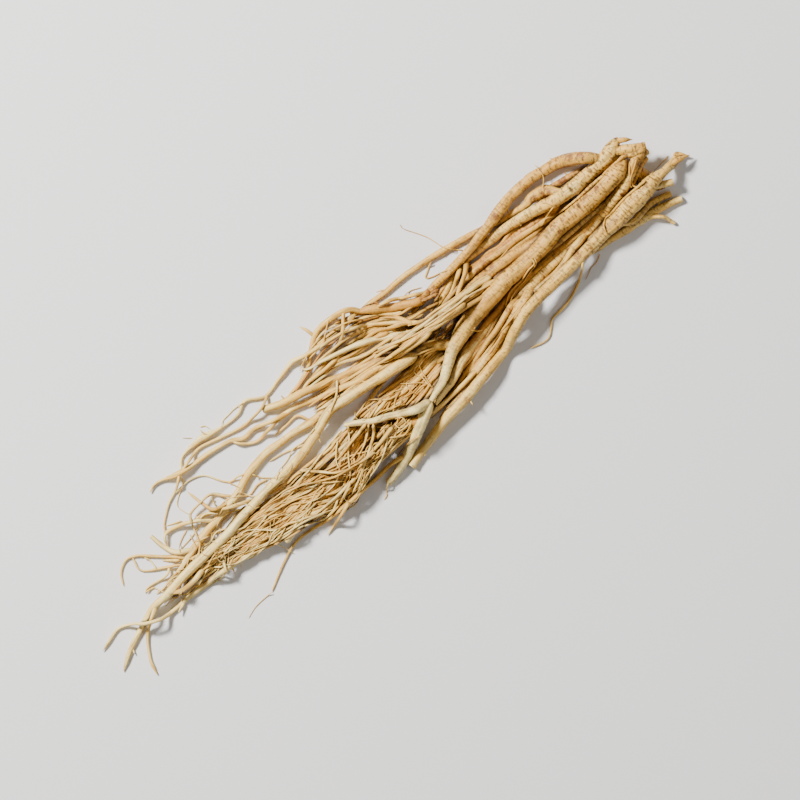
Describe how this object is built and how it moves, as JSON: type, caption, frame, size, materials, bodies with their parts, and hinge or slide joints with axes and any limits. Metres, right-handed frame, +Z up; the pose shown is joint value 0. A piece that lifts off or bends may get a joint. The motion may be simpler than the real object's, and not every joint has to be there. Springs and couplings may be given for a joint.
{
  "type": "astragalus root",
  "caption": "Whole dried plant root: long woody roots run from a cut crown, taper, branch and end in pale tails and a mat of fine rootlets, lying flat.",
  "frame": {"origin": "middle of the box's underside, on the surface that the root lies on", "axes": "+X from the fine tails towards the cut crown, +Z up from the surface, +Y to the left seen from above with the crown ahead"},
  "size_m": [0.6116, 0.1481, 0.0353],
  "materials": {
    "bark": "dry, matt, finely wrinkled straw-coloured bark"
  },
  "bodies": {
    "root": {"astragalus_root": "bark"}
  },
  "joints": []
}
